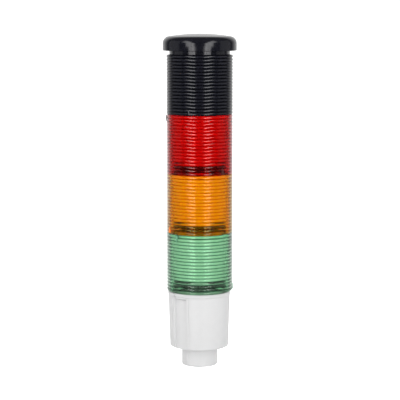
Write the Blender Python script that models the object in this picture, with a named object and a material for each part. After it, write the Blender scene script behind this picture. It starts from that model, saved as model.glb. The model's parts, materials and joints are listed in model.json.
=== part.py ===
"""Three-colour signal tower on a pole adapter, modelled piece by piece.

Metres, +Z up, front towards -Y. The origin is the centre of the pole socket's mouth.
From the bottom: pole adapter, white base, green, amber and red light modules, black
sounder module, black cap. Each element plugs onto the bayonet crown of the one below
it and turns to lock, so all the twist axes lie on Z.
"""

import math

import bmesh
import bpy
from mathutils import Matrix, Vector

# ---- driving dimensions -----------------------------------------------------
LENS_RADIUS = 0.0301
MODULE_HEIGHT = 0.0538
SPIGOT_LENGTH = 0.0175
BASE_HEIGHT = 0.0519
CAP_RADIUS = 0.0335
CAP_RIM_RISE = 0.0034
CAP_TOP_RISE = 0.0187
CAP_CORNER = 0.0066
CAP_DOME = 0.0022  # how far the middle rises above the rounded edge
POLE_SOCKET_RADIUS = 0.01115
POLE_SOCKET_DEPTH = 0.0400

# ---- heights of the joint planes, from the bottom up --------------------------
BASE_TOP = SPIGOT_LENGTH + BASE_HEIGHT
GREEN_FLOOR = BASE_TOP
AMBER_FLOOR = GREEN_FLOOR + MODULE_HEIGHT
RED_FLOOR = AMBER_FLOOR + MODULE_HEIGHT
SOUNDER_FLOOR = RED_FLOOR + MODULE_HEIGHT
SOUNDER_TOP = SOUNDER_FLOOR + MODULE_HEIGHT

# ---- shared details -----------------------------------------------------------
GAP = 0.0003  # between pieces that touch
HALF_GAP = GAP / 2
ROUND = 28  # sides of the large round pieces
SMALL_ROUND = 12  # sides of screws and pins
SHARP_ANGLE = math.radians(35)

LENS_INNER_RADIUS = 0.0274
RIB_COUNT = 18  # up each module's outside
RIB_DEPTH = 0.0009
ROOF_THICKNESS = 0.0020

CROWN_RADIUS = 0.0206
CROWN_BORE = 0.0190
CROWN_RISE = 0.0065  # above the joint plane
LUG_RADIUS = 0.0224
LUG_LOW, LUG_HIGH = 0.0040, 0.0058  # above the joint plane
LUG_HALF_ANGLE = 7.0
LUG_AZIMUTHS = (0.0, 120.0, 240.0)

SOCKET_OUTER = 0.0242
SOCKET_BORE = 0.0228
SOCKET_LOW, SOCKET_WEB, SOCKET_HIGH = 0.0010, 0.0076, 0.0090
LEDGE_BORE = 0.0210
LEDGE_HIGH = 0.0036
LEDGE_SPAN = (-9.0, 10.0)  # about each lug, when locked
STOP_SPAN = (8.5, 12.0)
ARM_REACH = 0.0269
ARM_WIDTH = 0.0050
ARM_LOW, ARM_HIGH = 0.0012, 0.0026
ARM_AZIMUTHS = (60.0, 180.0, 300.0)
BITE = 0.0002  # overlap between shapes that a union joins

SEAL_INNER, SEAL_OUTER = 0.0228, 0.0244
SEAL_GROOVE = (0.0225, 0.0247)
SEAL_GROOVE_DEPTH = 0.0010

DIFFUSER_INNER, DIFFUSER_OUTER = 0.0226, 0.0238
BOARD_WIDTH = 0.0200
BOARD_THICKNESS = 0.0016
PLATE_RADIUS = 0.0184
PLATE_LOW, PLATE_HIGH = 0.0046, 0.0062  # above the joint plane
PIN_BLOCK = (0.0260, 0.0100, 0.0050)
PIN_PITCH = 0.0050
PIN_RADIUS = 0.0007
PIN_COUNT = 5
LED_COUNT = 6

MARK_RISE = 0.0006
MARK_WIDTH = 0.0038
MARK_HEIGHT = 0.0056
MARK_MARGIN = 0.0006  # from the module's end
MARK_ROOT = 0.0012  # how deep it starts inside the crest

WALL_INNER = 0.0236
FLOOR_THICKNESS = 0.0035
BASE_FOOT_RADIUS = 0.0263
BASE_HEAD_RADIUS = 0.0278
BASE_FOOT_CHAMFER = 0.0008
HOUSING_TOP = BASE_TOP - 0.0035
CARRIER_RADIUS = 0.0281
DECK_LOW = BASE_TOP - 0.00215
DECK_HIGH = BASE_TOP - HALF_GAP
REGISTER = (0.0220, 0.0233)  # the carrier's ring inside the housing's wall
REGISTER_LOW = BASE_TOP - 0.0060
CARRIER_SCREW_AZIMUTHS = (20.0, 140.0, 260.0)
CARRIER_SCREW_CIRCLE = 0.0264
SCREW_SHANK, SCREW_HOLE = 0.0006, 0.0009
SCREW_HEAD, SCREW_WELL = 0.0011, 0.0014
SCREW_WELL_DEPTH = 0.0014

SPIGOT_RADIUS = 0.01645
POLE_TUBE_RADIUS = 0.0142
POLE_TUBE_TOP = 0.0430
CABLE_BORE = 0.0080
NUT_RADIUS = 0.0190
NUT_HEIGHT = 0.0047

COVER_AZIMUTH = -40.0
COVER_FACE = 0.0254  # distance of its flat face from the axis
COVER_SEAT = 0.0243
COVER_HALF_WIDTH = 0.0066
COVER_LOW, COVER_HIGH = SPIGOT_LENGTH, 0.0640
WINDOW_HALF_WIDTH = 0.0050
WINDOW_LOW, WINDOW_HIGH = 0.0250, 0.0590
RIDGE_WIDTH = 0.0018
RIDGE_RISE = 0.0005
HOUSING_RIDGE_AZIMUTH = -23.5
SPIGOT_RIDGE_AZIMUTH = -42.0
PAD_AZIMUTHS = (-94.0, -53.0)  # ends of the raised pad beside the cable exit
PAD_RISE = 0.0010
COUNTERBORE_RADIUS = SPIGOT_RADIUS + RIDGE_RISE + GAP  # round the spigot's top
COUNTERBORE_DEPTH = 0.0008

SET_SCREW_HEIGHT = 0.0090
SET_SCREW_RADIUS = 0.0019
SET_SCREW_LENGTH = 0.0048

TERMINAL_BLOCK = (0.0270, 0.0110, 0.0120)
TERMINAL_TOP = 0.0632
TERMINAL_PITCH = 0.0050
TERMINAL_BOARD_LOW, TERMINAL_BOARD_HIGH = 0.0636, 0.0652
TERMINAL_BOARD_RADIUS = 0.0215

NECK_RADIUS = 0.0275
NECK_WALL = 0.0020
NECK_RISE = 0.0060
SPINDLE_PLACE = (0.0140, 0.0, 0.0)


# ---- shape tools ---------------------------------------------------------------
def polar(radius, azimuth, z=0.0):
    """A point at this radius, azimuth degrees round from the front (-Y) towards +X."""
    turn = math.radians(azimuth)
    return Vector((radius * math.sin(turn), -radius * math.cos(turn), z))


def finished(bm):
    """The bmesh as a mesh with outward normals, smooth but for its sharp edges."""
    bmesh.ops.recalc_face_normals(bm, faces=bm.faces)
    mesh = bpy.data.meshes.new("shape")
    bm.to_mesh(mesh)
    bm.free()
    mesh.shade_smooth()
    mesh.set_sharp_from_angle(angle=SHARP_ANGLE)
    return mesh


def revolve(profile, sides=ROUND):
    """A (radius, z) outline turned about Z. One that starts and ends at radius 0 gets flat ends."""
    bm = bmesh.new()
    points = [point for point in profile if point[0] > 0]
    rings = [[bm.verts.new(polar(r, 360 * i / sides, z)) for i in range(sides)] for r, z in points]
    is_ring = len(points) == len(profile)
    pairs = list(zip(rings, rings[1:] + rings[:1]))
    for ring, following in pairs if is_ring else pairs[:-1]:
        for i in range(sides):
            j = (i + 1) % sides
            bm.faces.new([ring[i], ring[j], following[j], following[i]])
    if not is_ring:
        bm.faces.new(rings[0])
        bm.faces.new(rings[-1])
    return finished(bm)


def prism(outline, low, high):
    """An (x, y) outline extruded from z = low to z = high."""
    bm = bmesh.new()
    base = bm.faces.new([bm.verts.new((x, y, low)) for x, y in outline])
    made = bmesh.ops.extrude_face_region(bm, geom=[base])["geom"]
    top = [v for v in made if isinstance(v, bmesh.types.BMVert)]
    bmesh.ops.translate(bm, verts=top, vec=(0, 0, high - low))
    return finished(bm)


def arc_block(inner, outer, low, high, start, end, steps=4):
    """A piece of a ring between two azimuths."""
    azimuths = [start + (end - start) * i / steps for i in range(steps + 1)]
    outline = [polar(outer, a).xy for a in azimuths]
    outline += [polar(inner, a).xy for a in reversed(azimuths)]
    return prism(outline, low, high)


def box(size, centre):
    x, y, z = (side / 2 for side in size)
    mesh = prism([(-x, -y), (x, -y), (x, y), (-x, y)], -z, z)
    return moved(mesh, centre)


def radial_box(width, inner, outer, low, high, azimuth):
    """A box that reaches outwards from inner to outer at this azimuth."""
    size = (width, outer - inner, high - low)
    return moved(box(size, (0, -(inner + outer) / 2, (low + high) / 2)), azimuth=azimuth)


def rod(radius, low, high, centre=(0.0, 0.0, 0.0), sides=SMALL_ROUND):
    return moved(revolve([(0, low), (radius, low), (radius, high), (0, high)], sides), centre)


def moved(mesh, offset=(0.0, 0.0, 0.0), azimuth=0.0, tilt=None):
    """The mesh tilted (a matrix), then shifted, then turned about Z. It changes in place."""
    if tilt is not None:
        mesh.transform(tilt)
    mesh.transform(Matrix.Rotation(math.radians(azimuth), 4, "Z") @ Matrix.Translation(offset))
    return mesh


def gathered(meshes):
    """Several separate shapes as one mesh, to use as a tool."""
    bm = bmesh.new()
    for mesh in meshes:
        bm.from_mesh(mesh)
        bpy.data.meshes.remove(mesh)
    return finished(bm)


def carved(mesh, *steps):
    """The mesh after Booleans. Each step is an operation and its tool mesh."""
    body = bpy.data.objects.new("body", mesh)
    bpy.context.scene.collection.objects.link(body)
    tools = []
    for operation, tool_mesh in steps:
        tool = bpy.data.objects.new("tool", tool_mesh)
        bpy.context.scene.collection.objects.link(tool)
        tools.append(tool)
        modifier = body.modifiers.new(operation.lower(), "BOOLEAN")
        modifier.operation = operation
        modifier.solver = "EXACT"
        modifier.object = tool
    bpy.context.view_layer.update()
    evaluated = body.evaluated_get(bpy.context.evaluated_depsgraph_get())
    result = bpy.data.meshes.new_from_object(evaluated)
    for helper in [body, *tools]:
        bpy.data.objects.remove(helper)
    result.shade_smooth()
    result.set_sharp_from_angle(angle=SHARP_ANGLE)
    return result


# ---- materials and placing -------------------------------------------------------
def material(name, colour, roughness, metallic=0.0):
    made = bpy.data.materials.new(name)
    made.use_nodes = True
    shader = made.node_tree.nodes["Principled BSDF"]
    shader.inputs["Base Color"].default_value = (*colour, 1.0)
    shader.inputs["Roughness"].default_value = roughness
    shader.inputs["Metallic"].default_value = metallic
    return made


def group(name, z=0.0, parent=None, location=None):
    """An empty on a moving body's axis, which carries that body's pieces."""
    empty = bpy.data.objects.new(name, None)
    bpy.context.scene.collection.objects.link(empty)
    empty.parent = parent
    empty.location = (0.0, 0.0, z) if location is None else location
    return empty


def place(name, mesh, finish, parent, location=(0.0, 0.0, 0.0), azimuth=0.0):
    """A named piece. Its mesh may be shared, so the material sits on the object."""
    piece = bpy.data.objects.new(name, mesh)
    bpy.context.scene.collection.objects.link(piece)
    if not mesh.materials:
        mesh.materials.append(None)
    piece.material_slots[0].link = "OBJECT"
    piece.material_slots[0].material = finish
    piece.parent = parent
    piece.location = location
    piece.rotation_euler = (0.0, 0.0, math.radians(azimuth))
    return piece


# ---- the bayonet ------------------------------------------------------------------
def crown_lugs(joint_plane):
    """Three outward lugs on a crown whose joint plane is at this height."""
    return gathered(
        arc_block(
            CROWN_RADIUS - BITE,
            LUG_RADIUS,
            joint_plane + LUG_LOW,
            joint_plane + LUG_HIGH,
            azimuth - LUG_HALF_ANGLE,
            azimuth + LUG_HALF_ANGLE,
        )
        for azimuth in LUG_AZIMUTHS
    )


def socket_catches():
    """The socket's ledges, which the lugs hook over, and the stops that end the turn."""
    catches = []
    for azimuth in LUG_AZIMUTHS:
        catches.append(
            arc_block(
                LEDGE_BORE,
                SOCKET_BORE + BITE,
                SOCKET_LOW,
                LEDGE_HIGH,
                azimuth + LEDGE_SPAN[0],
                azimuth + STOP_SPAN[0] - BITE,
            )
        )
        catches.append(
            arc_block(
                LEDGE_BORE,
                SOCKET_BORE + BITE,
                SOCKET_LOW,
                SOCKET_WEB + BITE,
                azimuth + STOP_SPAN[0] - 1.0,
                azimuth + STOP_SPAN[1],
                steps=2,
            )
        )
    return catches


def foot_mesh():
    """The black socket that closes a module and plugs onto the crown below."""
    shell = revolve(
        [
            (0, SOCKET_WEB),
            (SOCKET_BORE, SOCKET_WEB),
            (SOCKET_BORE, SOCKET_LOW),
            (SOCKET_OUTER, SOCKET_LOW),
            (SOCKET_OUTER, SOCKET_HIGH),
            (0, SOCKET_HIGH),
        ]
    )
    arms = [
        radial_box(ARM_WIDTH, SOCKET_OUTER - 2 * BITE, ARM_REACH, ARM_LOW, ARM_HIGH, azimuth)
        for azimuth in ARM_AZIMUTHS
    ]
    width, depth, height = PIN_BLOCK
    slot = box((width + 2 * GAP, depth + 2 * GAP, height), (0, 0, SOCKET_WEB))
    ledges = socket_catches()
    steps = [("UNION", gathered(ledges[0::2])), ("UNION", gathered(ledges[1::2]))]
    return carved(shell, *steps, ("UNION", gathered(arms)), ("DIFFERENCE", slot))


# ---- light modules -------------------------------------------------------------------
def position_mark(azimuth, low, points_up):
    """A small raised arrow on the lens's outside."""
    half = MARK_WIDTH / 2
    tip, foot = (MARK_HEIGHT, 0.0) if points_up else (0.0, MARK_HEIGHT)
    arrow = prism([(-half, foot), (half, foot), (0.0, tip)], 0.0, MARK_RISE + MARK_ROOT)
    upright = Matrix.Rotation(math.radians(90), 4, "X")
    return moved(arrow, (0.0, MARK_ROOT - LENS_RADIUS, low), azimuth, tilt=upright)


def ribbed_outside(low, high):
    """Points up the outside of a module: a row of low ridges that meet in grooves."""
    pitch = (high - low) / RIB_COUNT
    groove = LENS_RADIUS - RIB_DEPTH
    points = [(groove, low)]
    for i in range(RIB_COUNT):
        points += [(LENS_RADIUS, low + (i + 0.5) * pitch), (groove, low + (i + 1) * pitch)]
    return points


def lens_mesh(top_mark, bottom_mark):
    """The moulded lens: tube, roof with seal groove, and crown with lugs, all in one."""
    low, high = HALF_GAP, MODULE_HEIGHT - HALF_GAP
    groove_inner, groove_outer = SEAL_GROOVE
    tube = revolve(
        ribbed_outside(low, high)
        + [
            (groove_outer, high),
            (groove_outer, high - SEAL_GROOVE_DEPTH),
            (groove_inner, high - SEAL_GROOVE_DEPTH),
            (groove_inner, high),
            (CROWN_RADIUS, high),
            (CROWN_RADIUS, MODULE_HEIGHT + CROWN_RISE),
            (CROWN_BORE, MODULE_HEIGHT + CROWN_RISE),
            (CROWN_BORE, high - ROOF_THICKNESS),
            (LENS_INNER_RADIUS, high - ROOF_THICKNESS),
            (LENS_INNER_RADIUS, low),
        ]
    )
    marks = gathered(
        [
            position_mark(top_mark, high - MARK_HEIGHT - MARK_MARGIN, points_up=False),
            position_mark(bottom_mark, low + MARK_MARGIN, points_up=True),
        ]
    )
    return carved(tube, ("UNION", crown_lugs(MODULE_HEIGHT)), ("UNION", marks))


def seal_mesh(joint_plane):
    low = joint_plane - HALF_GAP - SEAL_GROOVE_DEPTH + GAP
    high = joint_plane + SOCKET_LOW - GAP
    outline = [(SEAL_INNER, low), (SEAL_OUTER, low), (SEAL_OUTER, high), (SEAL_INNER, high)]
    return revolve(outline)


def diffuser_mesh():
    low = SOCKET_HIGH + GAP
    high = MODULE_HEIGHT - HALF_GAP - ROOF_THICKNESS - GAP
    return revolve(
        [(DIFFUSER_INNER, low), (DIFFUSER_OUTER, low), (DIFFUSER_OUTER, high), (DIFFUSER_INNER, high)]
    )


def contact_pins_mesh():
    """A moulded block with a row of pins that press on the contact plate below."""
    width, depth, height = PIN_BLOCK
    low = SOCKET_WEB - 0.0006
    block = box((width, depth, height), (0, 0, low + height / 2))
    pins = [
        rod(PIN_RADIUS, PLATE_HIGH + GAP, low + 0.0010, (x, 0, 0), sides=6)
        for x in row_of(PIN_COUNT, PIN_PITCH)
    ]
    return carved(block, ("UNION", gathered(pins)))


def row_of(count, pitch):
    """Evenly spaced places centred on zero."""
    return [(i - (count - 1) / 2) * pitch for i in range(count)]


def led_board_mesh():
    low = SOCKET_WEB - 0.0006 + PIN_BLOCK[2] + GAP
    high = MODULE_HEIGHT + PLATE_LOW - GAP
    return box((BOARD_WIDTH, BOARD_THICKNESS, high - low), (0, 0, (low + high) / 2))


def led_strip_mesh():
    """A strip of LED packages on one carrier, standing off the board's front face."""
    low, high = 0.0150, 0.0480
    pitch = (high - low) / LED_COUNT
    carrier, package, half_led = 0.0004, 0.0014, 0.0017
    outline = [(0.0, low), (0.0, high), (-carrier, high)]
    for i in reversed(range(LED_COUNT)):
        middle = low + (i + 0.5) * pitch
        outline += [(-carrier, middle + half_led), (-package, middle + half_led)]
        outline += [(-package, middle - half_led), (-carrier, middle - half_led)]
    outline.append((-carrier, low))
    strip = prism(outline, -half_led, half_led)
    stand_up = Matrix(((0, 0, 1, 0), (1, 0, 0, 0), (0, 1, 0, 0), (0, 0, 0, 1)))
    return moved(strip, (0.0, -BOARD_THICKNESS / 2 - GAP, 0.0), tilt=stand_up)


def contact_plate_mesh(joint_plane):
    low, high = joint_plane + PLATE_LOW, joint_plane + PLATE_HIGH
    return rod(PLATE_RADIUS, low, high, sides=ROUND)


def light_module(colour, floor, parent, lens_finish, marks, shared):
    """One lens module and all it holds. The empty stands on its twist axis."""
    body = group(f"{colour}_module", floor, parent)
    place(f"{colour}_lens", lens_mesh(*marks), lens_finish, body)
    place(f"{colour}_diffuser", shared["diffuser"], FINISHES["diffuser"], body)
    place(f"{colour}_foot", shared["foot"], FINISHES["black_plastic"], body)
    place(f"{colour}_seal", shared["seal"], FINISHES["rubber"], body)
    place(f"{colour}_contact_pins", shared["pins"], FINISHES["contact_plastic"], body)
    place(f"{colour}_contact_plate", shared["plate"], FINISHES["board"], body)
    place(f"{colour}_led_board", shared["board"], FINISHES["board"], body)
    place(f"{colour}_leds_front", shared["leds"], FINISHES["led"], body)
    place(f"{colour}_leds_back", shared["leds"], FINISHES["led"], body, azimuth=180.0)
    return body


# ---- sounder and cap ---------------------------------------------------------------------
def sounder_housing_mesh():
    """Opaque shell with the same outside as a lens, and a neck whose top is notched."""
    low, high = HALF_GAP, MODULE_HEIGHT - HALF_GAP
    neck_top = MODULE_HEIGHT + NECK_RISE
    shell = revolve(
        ribbed_outside(low, high)
        + [
            (NECK_RADIUS, high),
            (NECK_RADIUS, neck_top),
            (NECK_RADIUS - NECK_WALL, neck_top),
            (NECK_RADIUS - NECK_WALL, high),
            (CROWN_RADIUS, high),
            (CROWN_RADIUS, MODULE_HEIGHT + CROWN_RISE),
            (CROWN_BORE, MODULE_HEIGHT + CROWN_RISE),
            (CROWN_BORE, high - ROOF_THICKNESS),
            (LENS_INNER_RADIUS, high - ROOF_THICKNESS),
            (LENS_INNER_RADIUS, low),
        ]
    )
    notch_low = MODULE_HEIGHT + CAP_RIM_RISE + 0.0004
    notches = gathered(
        moved(
            box((0.0080, 0.0060, 0.0040), (0, -NECK_RADIUS + NECK_WALL / 2, notch_low + 0.0020)),
            azimuth=45.0 * i,
        )
        for i in range(8)
    )
    vents = gathered(
        arc_block(0.0213, 0.0250, high - ROOF_THICKNESS - GAP, high + GAP, 60.0 * i - 12, 60.0 * i + 12)
        for i in range(6)
    )
    mark = position_mark(-19.6, low + MARK_MARGIN, points_up=True)
    return carved(
        shell,
        ("UNION", crown_lugs(MODULE_HEIGHT)),
        ("UNION", mark),
        ("DIFFERENCE", notches),
        ("DIFFERENCE", vents),
    )


def buzzer_capsule_mesh():
    """A round buzzer with its sound hole in the top."""
    low, high, radius = 0.0149, 0.0300, 0.0140
    hole, hole_depth = 0.0030, 0.0040
    return revolve(
        [
            (0, low),
            (radius, low),
            (radius, high - 0.0010),
            (radius - 0.0010, high),
            (hole, high),
            (hole, high - hole_depth),
            (0, high - hole_depth),
        ],
        sides=24,
    )


def spindle_mesh():
    """The volume control's spindle, with a screwdriver slot in its top."""
    top = 0.0500
    stem = rod(0.0020, 0.0197, top)
    slot = box((0.0008, 0.0060, 0.0024), (0, 0, top))
    return carved(stem, ("DIFFERENCE", slot))


def cap_mesh():
    """Domed cap over the neck, with the bayonet socket inside it."""
    rim, top = CAP_RIM_RISE, CAP_TOP_RISE
    corner, wall, steps = CAP_CORNER, 0.0021, 5
    shoulder = top - CAP_DOME
    ceiling = shoulder - wall
    outline = [
        (0, ceiling),
        (SOCKET_BORE, ceiling),
        (SOCKET_BORE, SOCKET_LOW),
        (SOCKET_OUTER, SOCKET_LOW),
        (SOCKET_OUTER, ceiling),
        (CAP_RADIUS - corner, ceiling),
        (CAP_RADIUS - wall, shoulder - corner),
        (CAP_RADIUS - wall, rim),
        (CAP_RADIUS, rim),
    ]
    for i in range(steps + 1):
        turn = math.radians(90 * i / steps)
        radius = CAP_RADIUS - corner + corner * math.cos(turn)
        outline.append((radius, shoulder - corner + corner * math.sin(turn)))
    for share in (0.6, 0.4, 0.2, 0.1):
        outline.append((CAP_RADIUS * share, top - (top - shoulder) * (share / 0.8) ** 2))
    outline.append((0, outline[-1][1]))
    catches = socket_catches()
    ledges, stops = gathered(catches[0::2]), gathered(catches[1::2])
    return carved(revolve(outline), ("UNION", ledges), ("UNION", stops))


# ---- base ------------------------------------------------------------------------------------
def ridge_mesh(foot, head, azimuth):
    """A narrow upright ridge whose outer edge runs from foot to head, both (radius, z)."""
    root = min(foot[0], head[0]) - 0.0016
    outline = [(root, foot[1]), foot, head, (root, head[1])]
    stand_up = Matrix(((0, 0, -1, 0), (-1, 0, 0, 0), (0, 1, 0, 0), (0, 0, 0, 1)))
    return moved(prism(outline, -RIDGE_WIDTH / 2, RIDGE_WIDTH / 2), azimuth=azimuth, tilt=stand_up)


def pad_mesh(foot, head):
    """The raised pad, whose outer face runs from foot to head, both (radius, z)."""
    pad = arc_block(foot[0] - 0.0024, foot[0], foot[1], head[1], *PAD_AZIMUTHS, steps=6)
    for vertex in pad.vertices:
        if vertex.co.z > foot[1] + GAP:
            vertex.co.x *= head[0] / foot[0]
            vertex.co.y *= head[0] / foot[0]
    return pad


def housing_mesh():
    """The white shell of the base, tapered, with the side cable exit's recess and window.

    The recess runs out through the bottom edge. A shallow counterbore takes the spigot's top.
    """
    bottom, chamfer = SPIGOT_LENGTH, BASE_FOOT_CHAMFER
    shell = revolve(
        [
            (POLE_TUBE_RADIUS + GAP, bottom + COUNTERBORE_DEPTH),
            (COUNTERBORE_RADIUS, bottom + COUNTERBORE_DEPTH),
            (COUNTERBORE_RADIUS, bottom),
            (BASE_FOOT_RADIUS - chamfer, bottom),
            (BASE_FOOT_RADIUS, bottom + chamfer),
            (BASE_HEAD_RADIUS, HOUSING_TOP),
            (WALL_INNER, HOUSING_TOP),
            (WALL_INNER, bottom + FLOOR_THICKNESS),
            (POLE_TUBE_RADIUS + GAP, bottom + FLOOR_THICKNESS),
        ]
    )
    ridge = ridge_mesh(
        (BASE_FOOT_RADIUS + RIDGE_RISE, bottom + chamfer),
        (BASE_HEAD_RADIUS + RIDGE_RISE, HOUSING_TOP - 0.0006),
        HOUSING_RIDGE_AZIMUTH,
    )
    pad = pad_mesh(
        (BASE_FOOT_RADIUS + PAD_RISE, bottom + chamfer),
        (BASE_HEAD_RADIUS + PAD_RISE, HOUSING_TOP - 0.0003),
    )
    recess = radial_box(
        2 * COVER_HALF_WIDTH + 2 * GAP, COVER_SEAT, LENS_RADIUS + 0.0020, bottom - GAP,
        COVER_HIGH + GAP, COVER_AZIMUTH,
    )
    window = radial_box(
        2 * WINDOW_HALF_WIDTH, WALL_INNER - 0.0030, LENS_RADIUS, WINDOW_LOW, WINDOW_HIGH,
        COVER_AZIMUTH,
    )
    pilots = gathered(
        rod(SCREW_HOLE, HOUSING_TOP - 0.0060, BASE_TOP, polar(CARRIER_SCREW_CIRCLE, a), sides=8)
        for a in CARRIER_SCREW_AZIMUTHS
    )
    return carved(
        shell,
        ("UNION", ridge),
        ("UNION", pad),
        ("DIFFERENCE", recess),
        ("DIFFERENCE", window),
        ("DIFFERENCE", pilots),
    )


def cover_mesh():
    """The side cable exit's flat cover, with two snap legs that hold in the window."""
    plate = radial_box(
        2 * COVER_HALF_WIDTH, COVER_SEAT + GAP, COVER_FACE, COVER_LOW, COVER_HIGH, COVER_AZIMUTH
    )
    legs = gathered(
        radial_box(
            2 * WINDOW_HALF_WIDTH - 2 * GAP, WALL_INNER - 0.0020, COVER_SEAT + 2 * GAP, low,
            low + 0.0016, COVER_AZIMUTH,
        )
        for low in (WINDOW_LOW + GAP, WINDOW_HIGH - GAP - 0.0016)
    )
    return carved(plate, ("UNION", legs))


def adapter_mesh():
    """The pole adapter: a spigot below the base and a tube up inside it."""
    top, chamfer, lead_in = SPIGOT_LENGTH + COUNTERBORE_DEPTH - GAP, 0.0010, 0.0004
    tube = revolve(
        [
            (POLE_SOCKET_RADIUS + lead_in, 0.0),
            (SPIGOT_RADIUS - chamfer, 0.0),
            (SPIGOT_RADIUS, chamfer),
            (SPIGOT_RADIUS, top),
            (POLE_TUBE_RADIUS, top),
            (POLE_TUBE_RADIUS, POLE_TUBE_TOP),
            (CABLE_BORE, POLE_TUBE_TOP),
            (CABLE_BORE, POLE_SOCKET_DEPTH),
            (POLE_SOCKET_RADIUS, POLE_SOCKET_DEPTH),
            (POLE_SOCKET_RADIUS, lead_in),
        ]
    )
    ridge_radius = SPIGOT_RADIUS + RIDGE_RISE
    ridge = ridge_mesh((ridge_radius, chamfer), (ridge_radius, top - 0.0006), SPIGOT_RIDGE_AZIMUTH)
    insert_seat = lie_along_y(rod(0.0035, 0.0116, 0.0200), SET_SCREW_HEIGHT)
    screw_way = lie_along_y(rod(0.0023, 0.0090, 0.0118), SET_SCREW_HEIGHT)
    return carved(
        tube, ("UNION", ridge), ("DIFFERENCE", insert_seat), ("DIFFERENCE", screw_way)
    )


def lie_along_y(mesh, height=0.0):
    """A shape made along Z, laid along +Y at this height."""
    return moved(mesh, (0.0, 0.0, height), tilt=Matrix.Rotation(math.radians(-90), 4, "X"))


def insert_mesh():
    """The brass threaded insert that the set screw turns in."""
    inner, outer = SET_SCREW_RADIUS + GAP, 0.0032
    near, far = 0.0119, 0.0164
    ring = revolve([(inner, near), (outer, near), (outer, far), (inner, far)], sides=SMALL_ROUND)
    return lie_along_y(ring, SET_SCREW_HEIGHT)


def set_screw_mesh():
    near = POLE_SOCKET_RADIUS + 0.0002
    far = near + SET_SCREW_LENGTH
    socket, socket_depth, cone = 0.0010, 0.0020, 0.0006
    outline = [
        (0, near),
        (SET_SCREW_RADIUS - cone, near),
        (SET_SCREW_RADIUS, near + cone),
        (SET_SCREW_RADIUS, far),
        (socket, far),
        (socket, far - socket_depth),
        (0, far - socket_depth),
    ]
    return lie_along_y(revolve(outline, sides=SMALL_ROUND), SET_SCREW_HEIGHT)


def carrier_mesh():
    """The base's top: deck with seal groove, crown with lugs, and a ring inside the wall."""
    skirt_low = HOUSING_TOP + GAP
    groove_inner, groove_outer = SEAL_GROOVE
    register_inner, register_outer = REGISTER
    edge = 0.0004
    deck = revolve(
        [
            (CROWN_BORE, DECK_LOW),
            (register_inner, DECK_LOW),
            (register_inner, REGISTER_LOW),
            (register_outer, REGISTER_LOW),
            (register_outer, skirt_low),
            (CARRIER_RADIUS, skirt_low),
            (CARRIER_RADIUS, DECK_HIGH - edge),
            (CARRIER_RADIUS - edge, DECK_HIGH),
            (groove_outer, DECK_HIGH),
            (groove_outer, DECK_HIGH - SEAL_GROOVE_DEPTH),
            (groove_inner, DECK_HIGH - SEAL_GROOVE_DEPTH),
            (groove_inner, DECK_HIGH),
            (CROWN_RADIUS, DECK_HIGH),
            (CROWN_RADIUS, BASE_TOP + CROWN_RISE),
            (CROWN_BORE, BASE_TOP + CROWN_RISE),
        ]
    )
    places = [polar(CARRIER_SCREW_CIRCLE, a) for a in CARRIER_SCREW_AZIMUTHS]
    holes = gathered(rod(SCREW_HOLE, HOUSING_TOP, BASE_TOP, p, sides=8) for p in places)
    pad_low, pad_high = skirt_low + 0.0002, DECK_HIGH - edge - 0.0002
    pad = arc_block(0.0262, CARRIER_RADIUS + PAD_RISE, pad_low, pad_high, *PAD_AZIMUTHS, steps=6)
    well_low = DECK_HIGH - SCREW_WELL_DEPTH
    wells = gathered(rod(SCREW_WELL, well_low, BASE_TOP + 0.0010, p, sides=8) for p in places)
    return carved(
        deck,
        ("UNION", crown_lugs(BASE_TOP)),
        ("UNION", pad),
        ("DIFFERENCE", holes),
        ("DIFFERENCE", wells),
    )


def carrier_screw_mesh():
    tip = HOUSING_TOP - 0.0050
    head_low, head_high = DECK_HIGH - SCREW_WELL_DEPTH + GAP, DECK_HIGH - 0.0001
    outline = [(0, tip), (SCREW_SHANK, tip), (SCREW_SHANK, head_low)]
    outline += [(SCREW_HEAD, head_low), (SCREW_HEAD, head_high), (0, head_high)]
    return revolve(outline, sides=8)


def terminal_block_mesh():
    """Five-way terminal block: screw pockets in front, wire entries below."""
    width, depth, height = TERMINAL_BLOCK
    body = box((width, depth, height), (0, 0, TERMINAL_TOP - height / 2))
    middle = TERMINAL_TOP - height / 2
    xs = row_of(PIN_COUNT, TERMINAL_PITCH)
    pockets = gathered(
        moved(rod(0.0020, -0.0080, -0.0010, sides=8), (x, 0, middle + 0.0010),
              tilt=Matrix.Rotation(math.radians(-90), 4, "X"))
        for x in xs
    )
    low = TERMINAL_TOP - height
    entries = gathered(box((0.0034, 0.0034, 0.0040), (x, 0.0020, low + 0.0010)) for x in xs)
    return carved(body, ("DIFFERENCE", pockets), ("DIFFERENCE", entries))


def terminal_screw_mesh():
    """A clamp screw lying along Y, its slotted head towards the front."""
    stem = revolve([(0, -0.0045), (0.0016, -0.0045), (0.0016, -0.0015), (0, -0.0015)], sides=8)
    lying = moved(stem, tilt=Matrix.Rotation(math.radians(-90), 4, "X"))
    return carved(lying, ("DIFFERENCE", box((0.0050, 0.0012, 0.0006), (0, -0.0045, 0))))


def base_contact_mesh():
    """Contact plate on a tongue that stands on the terminal board."""
    plate = contact_plate_mesh(BASE_TOP)
    low, high = TERMINAL_BOARD_HIGH + GAP, BASE_TOP + PLATE_LOW + BITE
    tongue = box((BOARD_WIDTH, BOARD_THICKNESS, high - low), (0, 0, (low + high) / 2))
    return carved(plate, ("UNION", tongue))


def lock_nut_mesh():
    low = SPIGOT_LENGTH + FLOOR_THICKNESS + GAP
    high = low + NUT_HEIGHT
    inner = POLE_TUBE_RADIUS + GAP
    hexagon = prism([polar(NUT_RADIUS, 60 * i).xy for i in range(6)], low, high)
    return carved(hexagon, ("DIFFERENCE", rod(inner, low - GAP, high + GAP, sides=ROUND)))


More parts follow.
